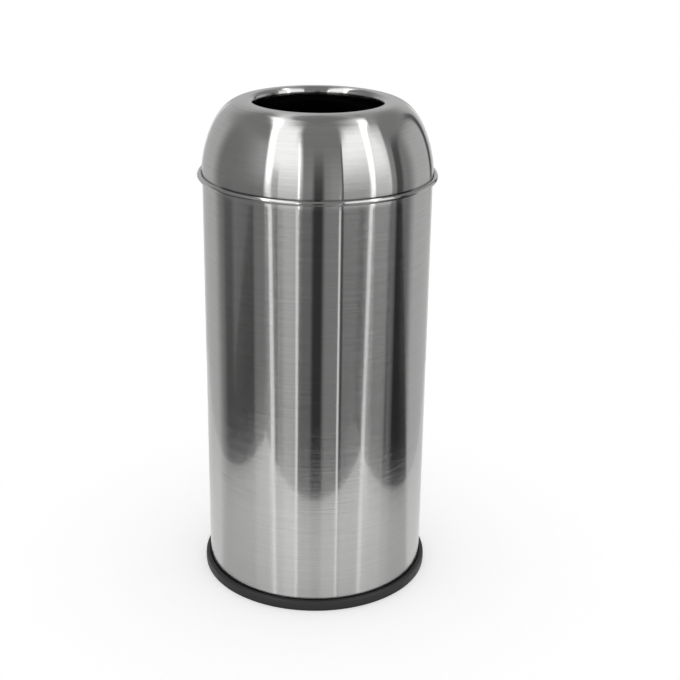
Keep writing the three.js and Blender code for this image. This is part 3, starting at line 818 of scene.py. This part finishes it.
def high_studio(tree, azimuth, elevation, back):
    """What the dome mirrors: on each side an arched lamp with a white screen in front of it and grey walls
    inside the arch, a grey ceiling with the camera's dark gap between them, and a lighter wall behind."""
    left = arch(tree, azimuth, elevation, -112, 64, 65.5, 2.4)
    left_rear = arch(tree, azimuth, elevation, -112, 69, 70, 2.4)
    left_edge = arch(tree, azimuth, elevation, -112, 95, 99, 2.4)
    right = arch(tree, azimuth, elevation, 118, 63, 61.5, 2.8)
    right_edge = arch(tree, azimuth, elevation, 118, 93, 85.5, 2.8)
    behind = laid(tree, 0.25, (elevation, -ALL_ROUND), (elevation, 33), 14, 0.56)

    # ceiling, with the camera's gap
    gap = laid(tree, 0.33, (azimuth, 13), (azimuth, ALL_ROUND), 8, 0.4)
    gap = laid(tree, gap, (azimuth, -4), (azimuth, 6), 5, 0.07)
    ceiling = laid(tree, gap, (elevation, 20), (elevation, ALL_ROUND), 44, 0.27)

    # left screen, sharp low down and blurred above
    screen = laid(tree, 0.86, (elevation, 10), (elevation, ALL_ROUND), 34, 1.55)
    level = laid(tree, ceiling, (left_edge, -1), (left_edge, 1.05), 0.13, screen)
    level = laid(tree, level, (left_edge, 0.96), (left_edge, 1), 0.02, 2.2)
    blurred = laid(tree, ceiling, (left_edge, -1), (left_edge, 0.98), 0.3, screen)
    level = laid(tree, level, (elevation, 46), (elevation, ALL_ROUND), 20, blurred)
    level = laid(tree, level, (elevation, 74), (elevation, ALL_ROUND), 18, 0.28)
    # left lamp, which runs on as a dim strip over the back wall
    edge = laid(tree, level, (left, 1.1), (left, 1.4), 0.1, 0.6)
    level = laid(tree, level, (elevation, -ALL_ROUND), (elevation, 12), 14, edge)
    lamp = laid(tree, 1.25, (elevation, 6), (elevation, ALL_ROUND), 16, DOME_LAMP)
    level = laid(tree, level, (left, 0.88), (left, 1.06), 0.2, lamp)
    lamp = laid(tree, behind, (elevation, 28), (elevation, ALL_ROUND), 14, 0.85)
    lamp = laid(tree, behind, (left_rear, 0.88), (left_rear, 1.08), 0.16, lamp)
    level = laid(tree, level, (back, BEHIND), (back, ALL_ROUND), 20, lamp)
    # left walls and the floor's paper inside the lamp's arch
    wall = laid(tree, 0.24, (left, 0.4), (left, ALL_ROUND), 0.8, 0.5)
    wall = laid(tree, wall, (elevation, -ALL_ROUND), (elevation, 4), 18, 0.25)
    paper = laid(tree, wall, (elevation, -ALL_ROUND), (elevation, 25), 26, 0.56)
    wall = laid(tree, wall, (azimuth, -ALL_ROUND), (azimuth, -119), 20, paper)
    wall = laid(tree, wall, (elevation, 36), (elevation, ALL_ROUND), 14, 0.27)
    left_half = laid(tree, level, (left, -1), (left, 0.84), 0.12, wall)

    # right screen, with a dark line beside it
    screen = laid(tree, 0.52, (elevation, 14), (elevation, ALL_ROUND), 40, 1.5)
    level = laid(tree, ceiling, (right_edge, 1), (right_edge, 1.05), 0.02, 0.14)
    level = laid(tree, level, (right_edge, -1), (right_edge, 1), 0.02, screen)
    blurred = laid(tree, ceiling, (right_edge, -1), (right_edge, 0.96), 0.36, screen)
    level = laid(tree, level, (elevation, 44), (elevation, ALL_ROUND), 20, blurred)
    level = laid(tree, level, (elevation, 66), (elevation, ALL_ROUND), 30, 0.28)
    # right lamp
    level = laid(tree, level, (back, BEHIND), (back, ALL_ROUND), 20, behind)
    lamp = laid(tree, 1.8, (elevation, 8), (elevation, ALL_ROUND), 14, DOME_LAMP)
    far_lamp = laid(tree, 0.56, (elevation, 28), (elevation, ALL_ROUND), 14, 0.45)
    lamp = laid(tree, lamp, (back, 140), (back, ALL_ROUND), 40, far_lamp)
    level = laid(tree, level, (right, 0.87), (right, 1.1), 0.2, lamp)
    # right walls and the floor's paper inside the lamp's arch
    wall = laid(tree, 0.28, (right, 0.62), (right, ALL_ROUND), 0.3, 0.42)
    paper = laid(tree, wall, (elevation, -ALL_ROUND), (elevation, 24), 22, 0.58)
    wall = laid(tree, wall, (azimuth, 107), (azimuth, ALL_ROUND), 18, paper)
    wall = laid(tree, wall, (azimuth, -ALL_ROUND), (azimuth, 84), 3, 0.36)
    dark = laid(tree, wall, (right, 0.09), (right, 0.2), 0.05, 0.1)
    wall = laid(tree, wall, (elevation, -ALL_ROUND), (elevation, 26), 14, dark)
    level = laid(tree, level, (right, -1), (right, 0.84), 0.12, wall)
    # a fill light close to the right lamp
    fill = laid(tree, 1.05, (azimuth, 96), (azimuth, ALL_ROUND), 44, 0.42)
    glow = laid(tree, 0.78, (elevation, 8), (elevation, 46), 20, 1.4)
    fill = laid(tree, glow, (azimuth, 75), (azimuth, ALL_ROUND), 10, fill)
    slanted = {0: azimuth, 1: -0.008, 2: right}
    inner = add_node(tree, "ShaderNodeMath", slanted, operation="MULTIPLY_ADD").outputs[0]
    level = laid(tree, level, (inner, -0.3), (right, 0.84), 0.08, fill)
    return laid(tree, left_half, (azimuth, 1), (azimuth, ALL_ROUND), 0.2, level)


def make_world():
    """White to the camera, plain white light for matt surfaces, and the studio for what is mirrored."""
    world = bpy.data.worlds.new("studio")
    bpy.context.scene.world = world
    world.use_nodes = True
    tree = world.node_tree
    tree.nodes.clear()
    way = add_node(tree, "ShaderNodeTexCoord").outputs["Generated"]
    flat = add_node(tree, "ShaderNodeSeparateXYZ", {0: way}).outputs
    front = add_node(tree, "ShaderNodeMath", {0: flat["Y"], 1: -1}, operation="MULTIPLY")
    turn = add_node(tree, "ShaderNodeMath", {0: flat["X"], 1: front.outputs[0]}, operation="ARCTAN2")
    azimuth = add_node(tree, "ShaderNodeMath", {0: turn.outputs[0]}, operation="DEGREES").outputs[0]
    rise = add_node(tree, "ShaderNodeMath", {0: flat["Z"]}, operation="ARCSINE")
    elevation = add_node(tree, "ShaderNodeMath", {0: rise.outputs[0]}, operation="DEGREES").outputs[0]
    ray = add_node(tree, "ShaderNodeLightPath").outputs
    # painted reflection: for rays mirrored a second time, as by the glazed floor, the world turns the
    # elevation below the horizon, so that the floor seems to mirror the low cards and they run on straight
    # down the tube
    bounces = {0: ray["Glossy Depth"], 1: 1.5}
    again = add_node(tree, "ShaderNodeMath", bounces, operation="GREATER_THAN").outputs[0]
    steep = add_node(tree, "ShaderNodeMath", {0: elevation}, operation="ABSOLUTE").outputs[0]
    below = add_node(tree, "ShaderNodeMath", {0: steep, 1: -1}, operation="MULTIPLY").outputs[0]
    elevation = add_node(tree, "ShaderNodeMix", {"Factor": again, "A": elevation, "B": below},
                         data_type="FLOAT").outputs["Result"]
    back = add_node(tree, "ShaderNodeMath", {0: azimuth}, operation="ABSOLUTE").outputs[0]
    low = low_studio(tree, azimuth, elevation)
    high = high_studio(tree, azimuth, elevation, back)
    level = laid(tree, low, (elevation, -13), (elevation, ALL_ROUND), 3, high)
    # a bright strip and a darker middle low on the back wall, which the sides of the tube mirror
    strip = laid(tree, level, (back, 162), (back, 168), 3, 0.9)
    behind = laid(tree, 0.16, (elevation, -11), (elevation, ALL_ROUND), 4, 0.5)
    strip = laid(tree, strip, (back, 168), (back, ALL_ROUND), 6, behind)
    level = laid(tree, level, (elevation, -ALL_ROUND), (elevation, 5), 8, strip)
    mirrored = add_node(tree, "ShaderNodeMix", {
        "Factor": ray["Is Glossy Ray"], "A": PLAIN_LIGHT, "B": level,
    }, data_type="FLOAT").outputs["Result"]
    seen = add_node(tree, "ShaderNodeMix", {
        "Factor": ray["Is Camera Ray"], "A": mirrored, "B": 1,
    }, data_type="FLOAT").outputs["Result"]
    light = add_node(tree, "ShaderNodeBackground", {"Color": seen, "Strength": 1})
    add_node(tree, "ShaderNodeOutputWorld", {"Surface": light.outputs[0]})


def make_floor():
    """A sheet of white paper under the bin. The camera sees its white and the bin's shadow on it. The metal
    sees it glazed, with a painted glow that is brightest in front, and with painted shade, a greyer colour,
    where it looks steeply down on it."""
    material, tree = new_material("white_paper")
    ray = add_node(tree, "ShaderNodeLightPath").outputs
    mirror = ray["Is Glossy Ray"]
    place = add_node(tree, "ShaderNodeTexCoord").outputs["Object"]
    back = add_node(tree, "ShaderNodeSeparateXYZ", {0: place}).outputs["Y"]
    front_light = add_node(tree, "ShaderNodeMapRange", {
        "Value": back, "From Min": -0.45, "From Max": 0.3, "To Min": 0.48, "To Max": 0.08,
    }).outputs[0]
    slant = add_node(tree, "ShaderNodeLayerWeight", {"Blend": 0.5}).outputs["Facing"]
    slanting = add_node(tree, "ShaderNodeMapRange", {
        "Value": slant, "From Min": 0.3, "From Max": 0.44,
    }).outputs[0]
    down = add_node(tree, "ShaderNodeMath", {0: 1, 1: slanting}, operation="SUBTRACT").outputs[0]
    # painted shade: for mirror rays that look steeply down, the paper's colour turns from #EDEDED to the
    # greyer #B4B4B4
    painted_shade_share = add_node(tree, "ShaderNodeMath", {0: mirror, 1: down}, operation="MULTIPLY").outputs[0]
    shade = add_node(tree, "ShaderNodeMix", {
        "Factor": painted_shade_share, "A": linear("#EDEDED"), "B": linear("#B4B4B4"),
    }, data_type="RGBA")
    paper = add_node(tree, "ShaderNodeBsdfDiffuse", {"Color": shade.outputs["Result"]})
    sheen = add_node(tree, "ShaderNodeBsdfGlossy", {"Color": (1, 1, 1, 1), "Roughness": 0.1})
    shiny = add_node(tree, "ShaderNodeMath", {0: mirror, 1: slanting}, operation="MULTIPLY").outputs[0]
    glaze = add_node(tree, "ShaderNodeMath", {0: shiny, 1: GLAZE}, operation="MULTIPLY").outputs[0]
    top = add_node(tree, "ShaderNodeMixShader", {0: glaze, 1: paper.outputs[0], 2: sheen.outputs[0]})
    # painted light: mirror rays that meet the paper at a slant see it glow, brightest at its front and
    # fading towards the back
    mirrored = add_node(tree, "ShaderNodeMath", {0: shiny, 1: front_light}, operation="MULTIPLY").outputs[0]
    lift = add_node(tree, "ShaderNodeMath", {0: ray["Is Camera Ray"], 1: CAMERA_LIFT, 2: mirrored},
                    operation="MULTIPLY_ADD")
    glow = add_node(tree, "ShaderNodeEmission", {"Color": (1, 1, 1, 1), "Strength": lift.outputs[0]})
    output(tree, add_node(tree, "ShaderNodeAddShader", {0: top.outputs[0], 1: glow.outputs[0]}))
    mesh = bpy.data.meshes.new("floor")
    corners = [(-0.5, -0.465, 0), (0.42, -0.465, 0), (0.42, 0.75, 0), (-0.5, 0.75, 0)]
    mesh.from_pydata(corners, [], [(0, 1, 2, 3)])
    mesh.materials.append(material)
    floor = bpy.data.objects.new("floor", mesh)
    bpy.context.scene.collection.objects.link(floor)


def make_camera():
    """The photograph's view, from 1.73 m away and 0.99 m up."""
    level = math.cos(CAMERA_PITCH)
    forward = Vector((math.sin(CAMERA_YAW) * level, math.cos(CAMERA_YAW) * level, -math.sin(CAMERA_PITCH)))
    right = Vector((math.cos(CAMERA_YAW), -math.sin(CAMERA_YAW), 0))
    up = right.cross(forward)
    rolled_right = math.cos(CAMERA_ROLL) * right + math.sin(CAMERA_ROLL) * up
    rolled_up = math.cos(CAMERA_ROLL) * up - math.sin(CAMERA_ROLL) * right
    data = bpy.data.cameras.new("camera")
    data.sensor_width = CAMERA_SENSOR
    data.lens = CAMERA_LENS
    camera = bpy.data.objects.new("camera", data)
    bpy.context.scene.collection.objects.link(camera)
    turn = Matrix((rolled_right, rolled_up, -forward)).transposed().to_4x4()
    camera.matrix_world = Matrix.Translation(CAMERA_PLACE) @ turn
    bpy.context.scene.camera = camera


make_world()
make_floor()
make_camera()
bpy.context.scene.view_settings.view_transform = "Standard"
